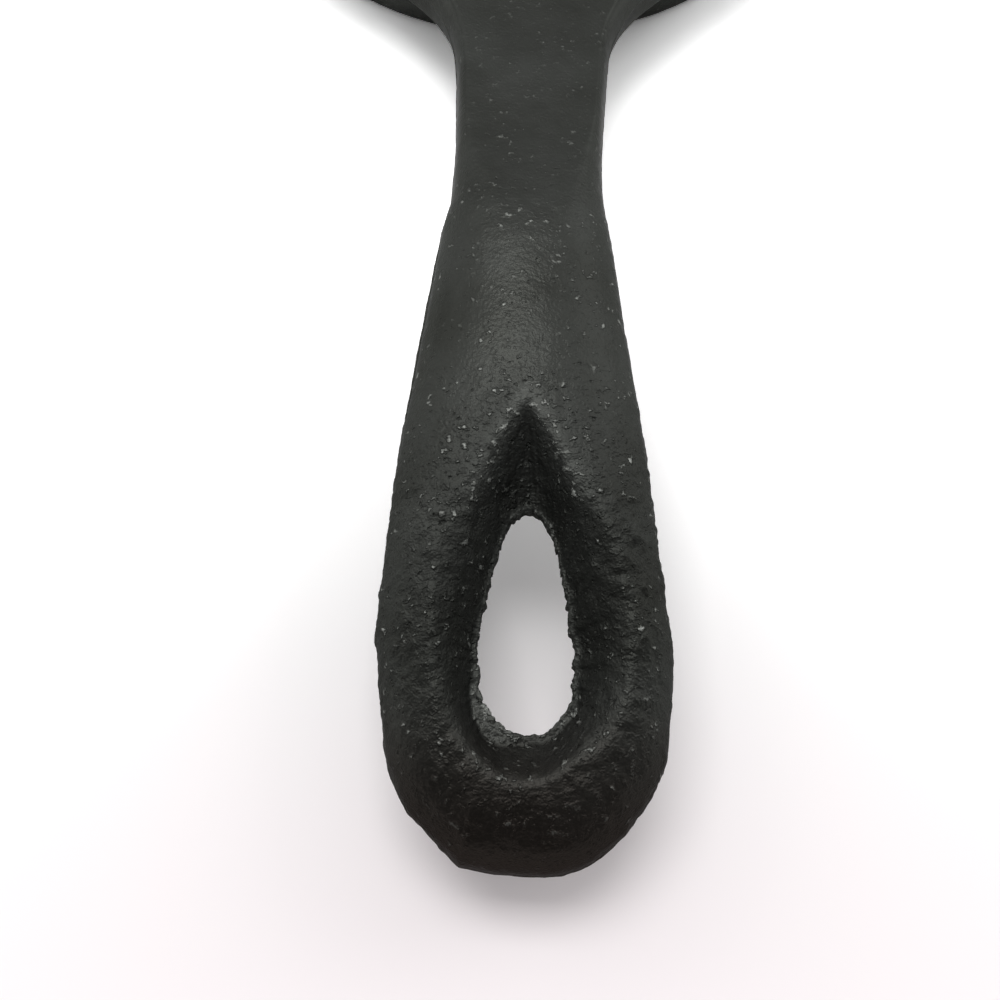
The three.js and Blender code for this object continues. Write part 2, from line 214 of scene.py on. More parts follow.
def wire(tree, kind, values, **settings):
    """Adds a node to a tree, with its inputs set to values or linked to other nodes' outputs. Gives its
    own outputs."""
    node = tree.nodes.new("ShaderNode" + kind)
    for name, value in settings.items():
        setattr(node, name, value)
    for socket, value in values.items():
        if isinstance(value, bpy.types.NodeSocket):
            tree.links.new(value, node.inputs[socket])
        else:
            node.inputs[socket].default_value = value
    return node.outputs


def seasoned_iron():
    """Oil-blackened cast iron. Its skin attribute says how coarse the sand was: the bump is grain, waves,
    lumps and pits times that, and the tops of the highest lumps are rubbed bare. Colour and roughness
    wander with broad noise. One attribute marks broken flash and rubbed edges, which are grey and have
    more bare specks; at the V of the recess's apex and along its lower rim that grey is also a painted
    highlight. Another marks ground iron at the tip, which is browner, and darker there as painted shade."""
    material = bpy.data.materials.new("seasoned_iron")
    material.use_nodes = True
    tree = material.node_tree
    shader = tree.nodes["Principled BSDF"]
    place = wire(tree, "TexCoord", {})["Object"]

    def mark(name):
        """How much of a named attribute there is at the place."""
        return wire(tree, "Attribute", {}, attribute_name=name)["Fac"]

    def noise(scale, detail, roughness):
        """Noise about 0.5, with so many grains to the metre."""
        values = {"Vector": place, "Scale": scale, "Detail": detail, "Roughness": roughness}
        return wire(tree, "TexNoise", values)[0]

    def product(a, b):
        """a times b."""
        return wire(tree, "Math", {0: a, 1: b}, operation="MULTIPLY")[0]

    def total(a, b):
        """a plus b."""
        return wire(tree, "Math", {0: a, 1: b}, operation="ADD")[0]

    def spread(value, low, high, to_low, to_high):
        """Straight line through to_low at low and to_high at high, level outside them."""
        return wire(tree, "MapRange", {0: value, 1: low, 2: high, 3: to_low, 4: to_high})[0]

    skin, torn, ground = mark("skin"), mark("torn"), mark("ground")
    grain = noise(2600.0, 1.0, 0.6)
    waves = noise(700.0, 1.0, 0.5)
    grit = noise(1250.0, 2.0, 0.55)
    patches = noise(230.0, 2.0, 0.6)
    broad = noise(70.0, 5.0, 0.6)

    lumps = product(spread(patches, 0.4, 0.6, 0.35, 1.0), spread(grit, 0.56, 0.74, 0.0, LUMP_HEIGHT))
    pits = spread(grit, 0.35, 0.22, 0.0, -PIT_DEPTH)
    waving = total(product(grain, GRAIN_HEIGHT), product(waves, WAVE_HEIGHT))
    coarse = product(total(waving, total(lumps, pits)), skin)
    height = total(coarse, product(grain, LEAST_GRAIN))
    bump = wire(tree, "Bump", {"Height": height, "Distance": MM, "Strength": 1.0})["Normal"]
    tree.links.new(bump, shader.inputs["Normal"])

    bare_grit = spread(total(grit, product(torn, 0.11)), 0.65, 0.73, 0.0, 1.0)
    bare_patches = spread(total(patches, product(torn, 0.2)), 0.42, 0.55, 0.0, 1.0)
    bare = product(product(bare_grit, bare_patches), spread(skin, 0.1, 0.6, 0.1, 1.0))
    layers = (
        (spread(broad, 0.3, 0.7, 0.0, 1.0), LIGHT_OIL),
        # grey of torn flash and rubbed edges, partly a painted highlight at the V and the recess's lower rim
        (torn, TORN_AND_HIGHLIT_GREY),
        (bare, BARE_GREY),
        # brown of ground iron at the tip, darker there as painted shade
        (ground, GROUND_BROWN_AND_SHADE),
    )
    colour = DARK_OIL
    for amount, tint in layers:
        colour = wire(tree, "Mix", {0: amount, 6: colour, 7: tint}, data_type="RGBA")[2]
    tree.links.new(colour, shader.inputs["Base Color"])
    rough = total(spread(broad, 0.3, 0.7, 0.32, 0.4), product(skin, 0.12))
    tree.links.new(rough, shader.inputs["Roughness"])
    shader.inputs["Metallic"].default_value = METAL_SHARE
    shader.inputs["Specular IOR Level"].default_value = 0.0
    shader.inputs["Specular Tint"].default_value = EDGE_GLOSS
    return material


IRON = seasoned_iron()


def cast_piece(name, points, faces, nodes, **surface):
    """An iron piece from points in millimetres, its faces and its surface's attributes. It stands for the
    named nodes."""
    mesh = bpy.data.meshes.new(name)
    mesh.from_pydata((points * MM).tolist(), [], faces)
    mesh.shade_smooth()
    mesh.materials.append(IRON)
    for attribute, values in surface.items():
        marks = mesh.attributes.new(attribute, "FLOAT", "POINT").data
        marks.foreach_set("value", values.astype(np.float32))
    piece = bpy.data.objects.new(name, mesh)
    bpy.context.scene.collection.objects.link(piece)
    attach(piece, "root")
    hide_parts(*nodes)
    return piece


def roughen(piece, depth):
    """Moves each vertex out along its normal by its own depth, in millimetres, but not out of the box of
    the solids."""
    vertices = piece.data.vertices
    place = np.empty(3 * len(vertices), np.float32)
    normal = np.empty(3 * len(vertices), np.float32)
    vertices.foreach_get("co", place)
    vertices.foreach_get("normal", normal)
    moved = (place + normal * np.repeat(depth * MM, 3)).reshape(-1, 3)
    moved = np.clip(moved, *cad_box)
    vertices.foreach_set("co", moved.astype(np.float32).ravel())
    piece.data.update()


def pan_section():
    """Section of the pan as (offset from the figure outline, height), from the floor up the drafted cavity
    wall, over the rim and down the outside to the base. Each corner is an arc tangent to its neighbours."""
    draft = math.degrees(DRAFT)
    fillet = -FLOOR_FILLET * math.tan(math.radians(45 - draft / 2))
    inner = (RIM - RIM_ROUNDING - FLOOR) * math.tan(DRAFT) + RIM_ROUNDING / math.cos(DRAFT)
    outer = (RIM - FLOOR) * math.tan(DRAFT) + RIM_WIDTH - RIM_ROUNDING
    base = WALL_AT_BASE - BASE_ROUNDING
    across, up = outer - base, RIM - RIM_ROUNDING - BASE_ROUNDING
    growth = math.asin((BASE_ROUNDING - RIM_ROUNDING) / math.hypot(across, up))
    lean = math.degrees(math.atan2(across, up) - growth)
    return divided(np.concatenate([
        arc((fillet, FLOOR + FLOOR_FILLET), FLOOR_FILLET, -90, -draft, FILLET_POINTS),
        arc((inner, RIM - RIM_ROUNDING), RIM_ROUNDING, 180 - draft, 90, RIM_POINTS),
        arc((outer, RIM - RIM_ROUNDING), RIM_ROUNDING, 90, -lean, RIM_POINTS),
        arc((base, BASE_ROUNDING), BASE_ROUNDING, -lean, -90, BASE_POINTS),
    ]), SECTION_STEP)


def pan_body():
    """The section carried round the figure outline along its normals, with the floor and the base filled."""
    foot, normal = belt(closed_chain(RIGHT_SIDE), OUTLINE_STEP)
    section = pan_section()
    flat = foot + section[:, :1, None] * normal
    level = np.broadcast_to(section[:, 1:], flat.shape[:2])
    rings = np.concatenate([flat, level[..., None]], -1)
    table = np.arange(rings.shape[0] * rings.shape[1]).reshape(rings.shape[:2])
    around = np.hstack([table, table[:, :1]])
    points, faces = [rings.reshape(-1, 3)], quads(around).tolist()
    count = table.size
    for ring, turn in ((0, 1), (-1, -1)):
        seeds, triangles = filled(flat[ring], FILL_STEP)
        number = np.append(table[ring], count + np.arange(len(seeds)))
        faces += number[triangles][:, ::turn].tolist()
        points.append(np.column_stack([seeds, np.full(len(seeds), section[ring, 1])]))
        count += len(seeds)
    return np.vstack(points), faces


points, faces = pan_body()
WALLS = ["head_wall", "left_arm_wall", "right_arm_wall", "left_leg_wall", "right_leg_wall"]
body = cast_piece("pan_body", points, faces, ["base_plate", *WALLS], skin=np.full(len(points), PAN_SKIN))
roughen(body, sand_relief(points, BODY_SAND))

# Handle: flare, neck, grip and hang eye
# Cast in one with the pan. It leaves the rim level with it, narrows to a flat neck and swells into a grip
# whose end holds a sunk teardrop, where thin flash is left round the hang hole. Its end is ground.

# Places along the handle are distances from its tip
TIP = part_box("hang_eye")[0].y / MM
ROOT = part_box("handle_flare")[1].y / MM - TIP
HEAD_WALL = HEAD[2] + (RIM - FLOOR) * math.tan(DRAFT) + RIM_WIDTH
HEAD_MIDDLE = HEAD[1] - TIP

# Outline of the handle, as circles (x, place, radius) from the tip to a disc inside the head's wall
NECK_HALF_WIDTH, NECK_HOLLOW, NECK_WAIST = 8.45, 60.0, 76.0
FLARE_HALF_WIDTH, FLARE_FILLET, FLARE_LENGTH = 8.9, 22.0, 16.0
WALL_OVERLAP = 1.6
TIP_CAP = (0.0, 13.6, 13.6)
GRIP_SWELL = (0.0, 22.0, 14.45)
GRIP_BACK = (0.0, 40.0, 12.7)
NECK_SIDE = (NECK_HALF_WIDTH + NECK_HOLLOW, NECK_WAIST, -NECK_HOLLOW)
FLARE_SIDE = (FLARE_HALF_WIDTH + FLARE_FILLET, ROOT - FLARE_LENGTH, -FLARE_FILLET)
WALL_DISC = (0.0, HEAD_MIDDLE, HEAD_WALL - WALL_OVERLAP)
HANDLE_SIDE = [TIP_CAP, GRIP_SWELL, GRIP_BACK, NECK_SIDE, FLARE_SIDE, WALL_DISC]
HANDLE_STEP = 0.05
WING = 12.0
CAP_MIDDLE, CAP_OVERLAP = 20.0, 1.0

# What departs from those circles: a start, then the ramps (change, from place, to place) that follow it
SWAY = (0.2, (-0.4, 12, 34), (0.8, 72, 95))
LEFT_STEP = (0.0, (0.4, 66.5, 71), (-0.4, 78, 90), (-0.3, 88, 94))
RIGHT_SWELL = (0.0, (0.35, 5, 11), (-0.35, 18, 25), (0.3, 54, 66), (0.5, 88, 104))
EDGE_SAND = [(0.05, 2.4, 11), (0.03, 0.9, 12)]

# Corners that stand proud at the end, as bells (height, x, width), and flats ground there between two points
PROUD_CORNERS = [(0.8, -5.3, 2.6), (0.35, 5.5, 3.0)]
GROUND_FLATS = [((-11.25, 5.95), (-5.9, 0.85)), ((-5.9, 0.85), (-2.5, 0.2)), ((-2.5, 0.2), (2.6, 0.0))]

# Thickness, the arch of the parting line, and the rounding of the edge with its lip of flash
NECK_HALF_THICKNESS, GRIP_HALF_THICKNESS = 4.0, 5.7
GRIP_HEEL, THIN_NECK = 62.0, 80.0
CREST, CREST_RISE, TIP_DROOP = 60.0, 3.6, 6.0
LEFT_LIP = (0.1, (0.15, 40, 48), (-0.15, 60, 68))
RIGHT_LIP = 0.1
LIP_SHARE, LIP_EDGE = 0.06, 0.12
EDGE_ROUNDING = (6.6, (4.6, 32, 46), (-9.8, 54, 82))


def along(place, start, *ramps):
    """A value that is start at first and then changes by each ramp: start plus the sum of each ramp's
    change times the smoothstep of the place between its ends."""
    return start + sum(change * smooth(place, low, high) for change, low, high in ramps)


def bells(value, *humps):
    """Sum of bell curves (height, middle, width): height times exp(-((value - middle) / width) squared)."""
    return sum(height * np.exp(-((value - middle) / width) ** 2) for height, middle, width in humps)


def soft_low(a, b, reach):
    """The lower of two values, rounded over where they are within reach of each other."""
    part = np.clip(0.5 + 0.5 * (b - a) / reach, 0, 1)
    return b + (a - b) * part - reach * part * (1 - part)


def parting(q):
    """Height of the parting line: level at the root, arched up to a crest over the grip, and drooping to
    the tip with the square of the way from the crest."""
    droop = TIP_DROOP * np.clip(1 - q / CREST, 0, 1) ** 2
    return RIM - NECK_HALF_THICKNESS + CREST_RISE * (1 - smooth(q, CREST, ROOT)) - droop


def half_thickness(q):
    """Half the thickness: the grip's as far as its heel, slimming to the neck's by smoothstep."""
    slimming = smooth(q, GRIP_HEEL, THIN_NECK)
    return GRIP_HALF_THICKNESS + (NECK_HALF_THICKNESS - GRIP_HALF_THICKNESS) * slimming


def handle_edge():
    """The outline from the left wing round the tip to the right wing, as (x, distance from the tip). It is
    the belt round the handle's circles, swayed a little off the centre line, stepped in at the left of the
    neck, and cut by the ground flats at its end, where it stands proud to a corner between them."""
    line, _ = belt(closed_chain(HANDLE_SIDE), HANDLE_STEP)
    right = line[(line[:, 0] >= 0) & (line[:, 1] < ROOT + WING)]
    outline = np.vstack([right[::-1] * (-1, 1), right])
    x, q = outline.T
    uneven = sand_relief(np.stack([x, q, q], 1), EDGE_SAND)
    proud = bells(x, *PROUD_CORNERS) * (q < CAP_MIDDLE)
    out = outline - (0, CAP_MIDDLE)
    out[q > CAP_MIDDLE, 1] = 0
    out /= np.linalg.norm(out, axis=1, keepdims=True)
    outline = outline + out * (uneven + proud)[:, None]
    outline[:, 0] += along(q, *SWAY) + np.where(x < 0, along(q, *LEFT_STEP), along(q, *RIGHT_SWELL))
    for start, end in GROUND_FLATS:
        way = np.subtract(end, start) / math.dist(start, end)
        out = np.array([way[1], -way[0]])
        outline -= np.maximum((outline - start) @ out, 0)[:, None] * out
    return outline


edge = handle_edge()
tip_at = len(edge) // 2


def half_width(q, side):
    """Half width of the outline on one side, at a distance from the tip."""
    line = edge[tip_at:] if side > 0 else edge[:tip_at][::-1]
    return np.interp(q, line[:, 1], np.abs(line[:, 0]))


def rounded_edge(inset, x, q):
    """Share of the half thickness at a distance in from the outline. A lip of flash along the parting line is
    almost level, and inside it a quarter ellipse rises to 1."""
    lip = np.where(x > 0, RIGHT_LIP, along(q, *LEFT_LIP))
    part = 1 - np.clip((inset - lip) / along(q, *EDGE_ROUNDING), 0, 1)
    return np.maximum(np.sqrt(1 - part**2), LIP_SHARE * smooth(inset, 0, LIP_EDGE))


def section_height(x, q):
    """Share of the half thickness at a place in plan. Past the cap's middle the outline is met straight
    across the handle, and round the cap it is met along the ray from the cap's middle."""
    cap = edge[edge[:, 1] < CAP_MIDDLE + CAP_OVERLAP]
    ray = np.arctan2(cap[:, 0], CAP_MIDDLE - cap[:, 1])
    radius = np.interp(np.arctan2(x, CAP_MIDDLE - q), ray, np.hypot(cap[:, 0], cap[:, 1] - CAP_MIDDLE))
    wide = np.where(x > 0, half_width(q, 1), half_width(q, -1))
    inset = np.where(q < CAP_MIDDLE, radius - np.hypot(x, q - CAP_MIDDLE), wide - np.abs(x))
    return rounded_edge(inset, x, q)


# Eye: two teardrops (half width, least share of it, taper, place of the blunt end, place of the apex). Angles
# t run round them from the apex, and up to the corner's to each side their rays end across the handle.
HOLE = (7.25, 0.5, 5.0, 12.75, 34.6)
RECESS = (9.3, 0.15, 1.0, 8.2, 43.9)
RECESS_BELLY = (0.0, (0.4, 29, 35), (-0.4, 40, 43.5))
RIGHT_SLOPE = (0.0, (2.2, 3, 9))
EYE_END = 47.0
EYE_CORNER = math.radians(25)
EDGE_POINTS, NECK_POINTS = 420, 85
SUNK_ROWS, SHOULDER_ROWS, WEB_ROWS, NECK_ROWS = 18, 32, 4, 200

# Torn flash round the hole: its thickness, its ragged edge, and the ledge it leaves as a share of the slope
WEB = 1.2
FLASH_BELL = (0.45, 2.5, 0.35)
RAGGED_SAND = [(0.2, 0.45, 15), (0.13, 0.7, 13), (0.2, 2.3, 14)]
HOLE_SHIFT, APEX_SHIFT, APEX_POWER = 0.25, 0.3, 8
LEAST_LEDGE = 0.05
LEDGE_BELLS = [(0.38, 2.55, 0.5), (0.15, 3.7, 0.4)]
LEAST_TORN, TORN_PER_LEDGE = 0.35, 3.5
TORN_FADE = (-0.05, 0.12)
# The recess's lower rim is rubbed, and painted lighter there as a highlight line
RUBBED_AND_HIGHLIT_RIM, RUBBED_AND_HIGHLIT_ANGLE = (0.45, 1.05, 0.14), 0.85

# Slope and rim of the recess by the angle from the apex, and a sharper stretch of rim on the right
SLOPE_POWER = (1.3, (-0.15, 0.5, 1.3))
RIM_SOFTNESS = (0.35, (3.2, 0.75, 1.5), (-2.4, 2.2, 2.9))
SHARPER_RIGHT = (0.2, 4.6, 0.7)


def teardrop(t, half, share, taper, blunt, apex):
    """A teardrop about the centre line: x is -half sin(t) (share + (1 - share) sin(t / 2) ^ taper), and the
    distance from the tip runs with cos(t) from the apex to the blunt end."""
    x = -half * np.sin(t) * (share + (1 - share) * np.abs(np.sin(t / 2)) ** taper)
    return np.stack([x, (apex + blunt) / 2 + (apex - blunt) / 2 * np.cos(t)], -1)


def eye_plan():
    """Plan of the grip's end as rings from the hole's edge over the recess's rim to the outline or, between
    the two corners, to a straight line across the handle. Rings run counterclockwise from the right corner,
    each a straight blend along the rays t of the two teardrops. Gives the depth of each ring too: 0 at the
    hole, 1 at the recess's rim and more outside it. The hole's edge is torn flash, so it is noisy, and it
    is shifted to the right, most at the apex."""
    cross = np.linspace(-EYE_CORNER, EYE_CORNER, NECK_POINTS)
    sides = np.linspace(EYE_CORNER, math.tau - EYE_CORNER, EDGE_POINTS + 2)[1:-1]
    t = np.append(cross, sides)
    hole, sunk = teardrop(t, *HOLE), teardrop(t, *RECESS)
    belly = along(sunk[:, 1], *RECESS_BELLY) * np.sign(sunk[:, 0])
    sunk[:, 0] += along(sunk[:, 0], *RIGHT_SLOPE) + belly
    inward = (hole - sunk) / np.linalg.norm(hole - sunk, axis=1, keepdims=True)
    ragged = sand_relief(np.stack([hole[:, 0], hole[:, 1], hole[:, 1]], 1), RAGGED_SAND)
    hole = hole + inward * (bells(t, FLASH_BELL) + ragged)[:, None]
    hole[:, 0] += HOLE_SHIFT + APEX_SHIFT * np.cos(t / 2) ** APEX_POWER
    near = edge[edge[:, 1] <= EYE_END]
    run = np.append(0, np.cumsum(np.hypot(*np.diff(near, axis=0).T)))
    at = np.linspace(0, run[-1], EDGE_POINTS + 2)[1:-1]
    around = np.stack([np.interp(at, run, near[:, 0]), np.interp(at, run, near[:, 1])], 1)
    share = np.sin(np.linspace(-1, 1, NECK_POINTS) * math.pi / 2)
    wide = np.where(share < 0, half_width(EYE_END, 1), half_width(EYE_END, -1))
    outer = np.vstack([np.stack([-share * wide, np.full(NECK_POINTS, EYE_END)], 1), around])
    part = np.linspace(0, 1, SUNK_ROWS)[:, None, None]
    out = np.sin(np.linspace(0, 1, SHOULDER_ROWS + 1)[1:] * math.pi / 2)[:, None, None]
    plan = np.concatenate([hole + (sunk - hole) * part, sunk + (outer - sunk) * out])
    depth = np.concatenate([
        np.broadcast_to(part[..., 0], (SUNK_ROWS, len(t))),
        1 + out[..., 0] * np.linalg.norm(outer - sunk, axis=1) / np.linalg.norm(sunk - hole, axis=1),
    ])
    return plan, depth, t


def flash_ledge(t):
    """Width of the ledge of torn flash round the hole, as a share of the recess's slope: widest at the lower
    left of the hole, and again at its lower right."""
    return LEAST_LEDGE + bells(t, *LEDGE_BELLS)


def torn_flash(depth, t):
    """How torn the iron is: along the hole's edge a little, on the ledge of flash where that is wide, and
    along the lower rim of the recess, which is rubbed and painted lighter as a highlight line."""
    ledge = flash_ledge(t)
    wide = np.clip(TORN_PER_LEDGE * (ledge - LEAST_LEDGE), LEAST_TORN, 1)
    rubbed_and_highlit = bells(depth, RUBBED_AND_HIGHLIT_RIM) * np.exp(-((t - math.pi) / RUBBED_AND_HIGHLIT_ANGLE) ** 4)
    return wide * (1 - smooth(depth - ledge, *TORN_FADE)) + rubbed_and_highlit


def eye_heights(plan, depth, t, side):
    """Heights of the grip's end above or below the parting line: the rounded grip, cut by a recess. From the
    hole out, the recess is a ledge of flash, widest at the lower left, then a hollow slope up to the grip's
    face at the recess's rim, as a power of the way. The rim is rounded, and sharper at the apex."""
    x, q = plan[..., 0], plan[..., 1]
    grip = half_thickness(q) * section_height(x, q)
    rim = grip[SUNK_ROWS - 1]
    ledge = flash_ledge(t)
    climb = np.maximum(depth - ledge, 0) / (1 - ledge)
    from_apex = np.abs((t + math.pi) % math.tau - math.pi)
    power = along(from_apex, *SLOPE_POWER)
    climb = np.where(climb < 1, climb**power, 1 + power * (climb - 1))
    slope = WEB / 2 + (rim - WEB / 2) * climb
    softness = along(from_apex, *RIM_SOFTNESS) * (1 - bells(t, SHARPER_RIGHT))
    return side * soft_low(grip, slope, softness)


# Neck and flare: where their rows begin to bow, how deep they end in the wall, and the fillet under them
BEND_START = 91.0
ROOT_DEPTH = 2.2
WING_MARGIN = 0.2
RIM_DIP = (0.0, (0.5, 0.2, 2.4))
UNDER_FILLET, FILLET_END = 4.5, 2.0


def neck_plan():
    """Plan of the neck and flare as rows from the eye's end to the root inside the pan's wall. Past the neck
    the rows bow towards the pan, so that each meets the flare's outline squarely. Gives the distance in from
    the outline too."""
    share = np.sin(np.linspace(-1, 1, NECK_POINTS) * math.pi / 2)
    last = ROOT + ROOT_DEPTH
    middle = np.linspace(EYE_END, last, NECK_ROWS)[:, None]
    bend = np.clip((middle - BEND_START) / (last - BEND_START), 0, 1)
    bow = (ROOT + WING - WING_MARGIN - last) * bend**2
    wide = np.where(share < 0, half_width(middle + bow, 1), half_width(middle + bow, -1))
    q = middle + bow * share**2
    return np.stack([-share * wide, q], -1), wide * (1 - np.abs(share))


def neck_heights(plan, inset, side):
    """Heights of the neck about the parting line. The top dips just below the rim once it is past the rim's
    edge, and the underside has a fillet down the pan's wall, a quarter circle."""
    x, q = plan[..., 0], plan[..., 1]
    into = HEAD_WALL - np.hypot(x, q - HEAD_MIDDLE)
    thick = half_thickness(q)
    if side > 0:
        thick = thick - along(into, *RIM_DIP)
    else:
        curve = np.clip(1 + (into - FILLET_END) / UNDER_FILLET, 0, 1)
        thick = thick + UNDER_FILLET * (1 - np.sqrt(1 - curve**2))
    return side * thick * rounded_edge(inset, x, q)


def handle():
    """Upper and lower skins of the eye and the neck, joined along the outline, round the hole by the rough
    web, and at the root by a cap inside the wall, which ends in a triangle at each side. Gives each point's
    share of torn or rubbed iron too, where the recess's lower rim also carries a painted highlight."""
    eye, depth, t = eye_plan()
    neck, inset = neck_plan()
    points, eyes, necks = [], [], []
    count = 0
    for side in (1, -1):
        for plan, height, torn, tables in (
            (eye, eye_heights(eye, depth, t, side), torn_flash(depth, t), eyes),
            (neck, neck_heights(neck, inset, side), np.zeros(inset.shape), necks),
        ):
            z = parting(plan[..., 1]) + height
            points.append(np.concatenate([plan, z[..., None], torn[..., None]], -1).reshape(-1, 4))
            tables.append(count + np.arange(z.size).reshape(z.shape))
            count += z.size
    eyes[1][-1, NECK_POINTS:] = eyes[0][-1, NECK_POINTS:]
    eyes[1][-1, [0, NECK_POINTS - 1]] = eyes[0][-1, [0, NECK_POINTS - 1]]
    necks[1][:, [0, -1]] = necks[0][:, [0, -1]]
    for eye_table, neck_table in zip(eyes, necks):
        neck_table[0] = eye_table[-1, :NECK_POINTS]
    upper, lower = points[0][:len(t)], points[2][:len(t)]
    part = np.linspace(0, 1, WEB_ROWS + 2)[1:-1, None, None]
    points.append((upper + (lower - upper) * part).reshape(-1, 4))
    rows = count + np.arange(WEB_ROWS * len(t)).reshape(WEB_ROWS, -1)
    web = np.vstack([eyes[0][:1], rows, eyes[1][:1]])
    loops = [np.hstack([table, table[:, :1]]) for table in (*eyes, web)]
    faces = np.vstack([
        quads(loops[0]), quads(loops[1], flip=True), quads(loops[2], flip=True),
        quads(necks[0]), quads(necks[1], flip=True),
        quads(np.stack([necks[0][-1], necks[1][-1]])),
    ])
    used, faces = np.unique(faces, return_inverse=True)
    points = np.vstack(points)[used]
    points[:, 1] += TIP
    faces = [list(dict.fromkeys(face)) for face in faces.reshape(-1, 4).tolist()]
    return points[:, :3], points[:, 3], faces


# Skin of the handle: how coarse and how ground it is along its length, and spots (x, place, size, change).
# How ground it is also sets painted shade that darkens and browns the tip.
COARSENESS = (1.15, (0.35, 12, 26), (-1.15, 32, 50), (-0.17, 62, 84))
COARSE_SPOTS = [(0, 42, 5, 0.5), (-9.5, 33, 4, 0.6), (10.5, 21, 6, -0.4), (-9.5, 11.5, 5, -0.3)]
SMOOTHER_TIP = (0.4, (0.6, 0, 4))
GROUND_AND_SHADE_SHARE = (0.8, (-0.8, 0.5, 19))

# Rubbed edges on the top, painted lighter as a highlight too: just outside the V of the recess's apex, and a
# spot beside the hole
V_MIDDLE, V_APEX, V_SPREAD = 0.2, 44.0, 0.5
V_STRETCH = (0.0, (1.0, 32, 37), (-1.0, 45, 48))
V_RUBBED_AND_HIGHLIT = (0.72, 0.8, 1.0)
RUBBED_AND_HIGHLIT_SPOTS = [(-9.4, 32.5, 3.0, 0.35)]

# Sand of the handle: its grain, the noise whose tops are lumps and whose bottoms are pits, and torn rags
HANDLE_SAND = [(0.05, 2.2, 3), (0.05, 0.5, 4)]
LUMP_SAND = [(1.0, 0.95, 5)]
LUMP_RISE, LUMPS_ABOVE = 0.16, 0.15
PIT_FALL, PITS_BELOW = 0.17, -0.25
RAG_SAND = [(0.14, 0.36, 7), (0.14, 0.9, 8)]


def spots(points, places):
    """Sum of round spots in plan: change times exp(-(distance from the spot's middle / size) squared)."""
    x, q = points[:, 0], points[:, 1] - TIP
    return sum(change * np.exp(-((x - spot_x) ** 2 + (q - spot_q) ** 2) / size**2)
               for spot_x, spot_q, size, change in places)


def rubbed_and_highlit_top(points):
    """How rubbed the top of the handle is, with a painted highlight on the same places. The V is where |x|
    from its middle is its spread times the distance before its apex, and a bell curve of the distance outside
    it is rubbed and painted lighter."""
    q = points[:, 1] - TIP
    outside = np.abs(points[:, 0] - V_MIDDLE) - V_SPREAD * (V_APEX - q)
    rubbed_and_highlit = bells(outside, V_RUBBED_AND_HIGHLIT) * along(q, *V_STRETCH) + spots(points, RUBBED_AND_HIGHLIT_SPOTS)
    return np.where(points[:, 2] > parting(q), rubbed_and_highlit, 0)


points, torn, faces = handle()
from_tip = points[:, 1] - TIP
coarse = (along(from_tip, *COARSENESS) + spots(points, COARSE_SPOTS)) * along(from_tip, *SMOOTHER_TIP)
# The rubbed edges on the top join the torn share; their grey is partly a painted highlight
torn = torn + rubbed_and_highlit_top(points)
handle_piece = cast_piece(
    "handle", points, faces, ["handle_flare", "handle_neck", "handle_grip", "hang_eye"],
    skin=coarse + torn, torn=torn, ground=along(from_tip, *GROUND_AND_SHADE_SHARE))
lumpy = sand_relief(points, LUMP_SAND)
lumps = LUMP_RISE * np.clip(lumpy - LUMPS_ABOVE, 0, 1) - PIT_FALL * np.clip(PITS_BELOW - lumpy, 0, 1)
sandy = coarse * (sand_relief(points, HANDLE_SAND) + lumps)
roughen(handle_piece, sandy + torn * sand_relief(points, RAG_SAND))

# Face and buttons: five domes and a smile
# Part of the same casting. They stand up from the floor, so that the cake comes out with dents there.
SUNK = 0.4
RELIEF_SAND = [(0.04, 1.6, 9)]
DOME_GRID, DOME_REACH, DOME_FILLET = 33, 1.14, 0.5
RIDGE_GRID, RIDGE_REACH, RIDGE_END = 15, 1.1, 0.05
SMILE_RADIUS, SMILE_ANGLE, SMILE_POINTS = 17.0, 68.0, 90
SMILE_HALF_WIDTH, SMILE_RISE = 1.8, 2.0


def cushion(plan, rise):
    """A closed cushion on the pan's floor: a grid of points raised by a height, over the same grid below the
    floor. The two share the grid's edge, and the faces at its corners are split there, so that they part."""
    low = np.full(rise.shape, -2 * SUNK)
    skins = [np.concatenate([plan, FLOOR + z[..., None]], -1).reshape(-1, 3) for z in (rise, low)]
    upper = np.arange(rise.size).reshape(rise.shape)
    lower = upper + rise.size
    lower[[0, -1]] = upper[[0, -1]]
    lower[:, [0, -1]] = upper[:, [0, -1]]
    used, faces = np.unique(np.vstack([quads(upper), quads(lower, flip=True)]), return_inverse=True)
    faces = faces.reshape(-1, 4)
    corner = np.isin(faces, upper[[0, 0, -1, -1], [0, -1, 0, -1]])
    whole = faces[~corner.any(1)].tolist()
    for face, first in zip(faces[corner.any(1)], corner[corner.any(1)].argmax(1)):
        a, b, c, d = np.roll(face, -first).tolist()
        whole += [[a, b, c], [a, c, d]]
    return np.concatenate(skins)[used], whole


def relief(node, plan, rise):
    """A raised iron piece that stands for one node."""
    points, faces = cushion(plan, rise)
    piece = cast_piece(node + "_relief", points, faces, [node], skin=np.full(len(points), PAN_SKIN))
    roughen(piece, sand_relief(points, RELIEF_SAND))


def dome(node):
    """A ball cap that fills the node's box, with a fillet at its foot. Its grid is a square drawn out to a
    disc: x = u sqrt(1 - v v / 2) and y = v sqrt(1 - u u / 2)."""
    low, high = (np.array(corner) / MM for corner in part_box(node))
    middle, radius, height = (low + high) / 2, (high[0] - low[0]) / 2, high[2] - low[2]
    u, v = np.meshgrid(np.linspace(1, -1, DOME_GRID), np.linspace(-1, 1, DOME_GRID))
    x, y = u * np.sqrt(1 - v * v / 2), v * np.sqrt(1 - u * u / 2)
    ball = (radius**2 + height**2) / (2 * height)
    reach = DOME_REACH * radius
    cap = height - ball + np.sqrt(ball**2 - reach**2 * (x * x + y * y))
    rise = -soft_low(-cap, np.full(cap.shape, SUNK), DOME_FILLET)
    relief(node, middle[:2] + reach * np.stack([x, y], -1), rise)


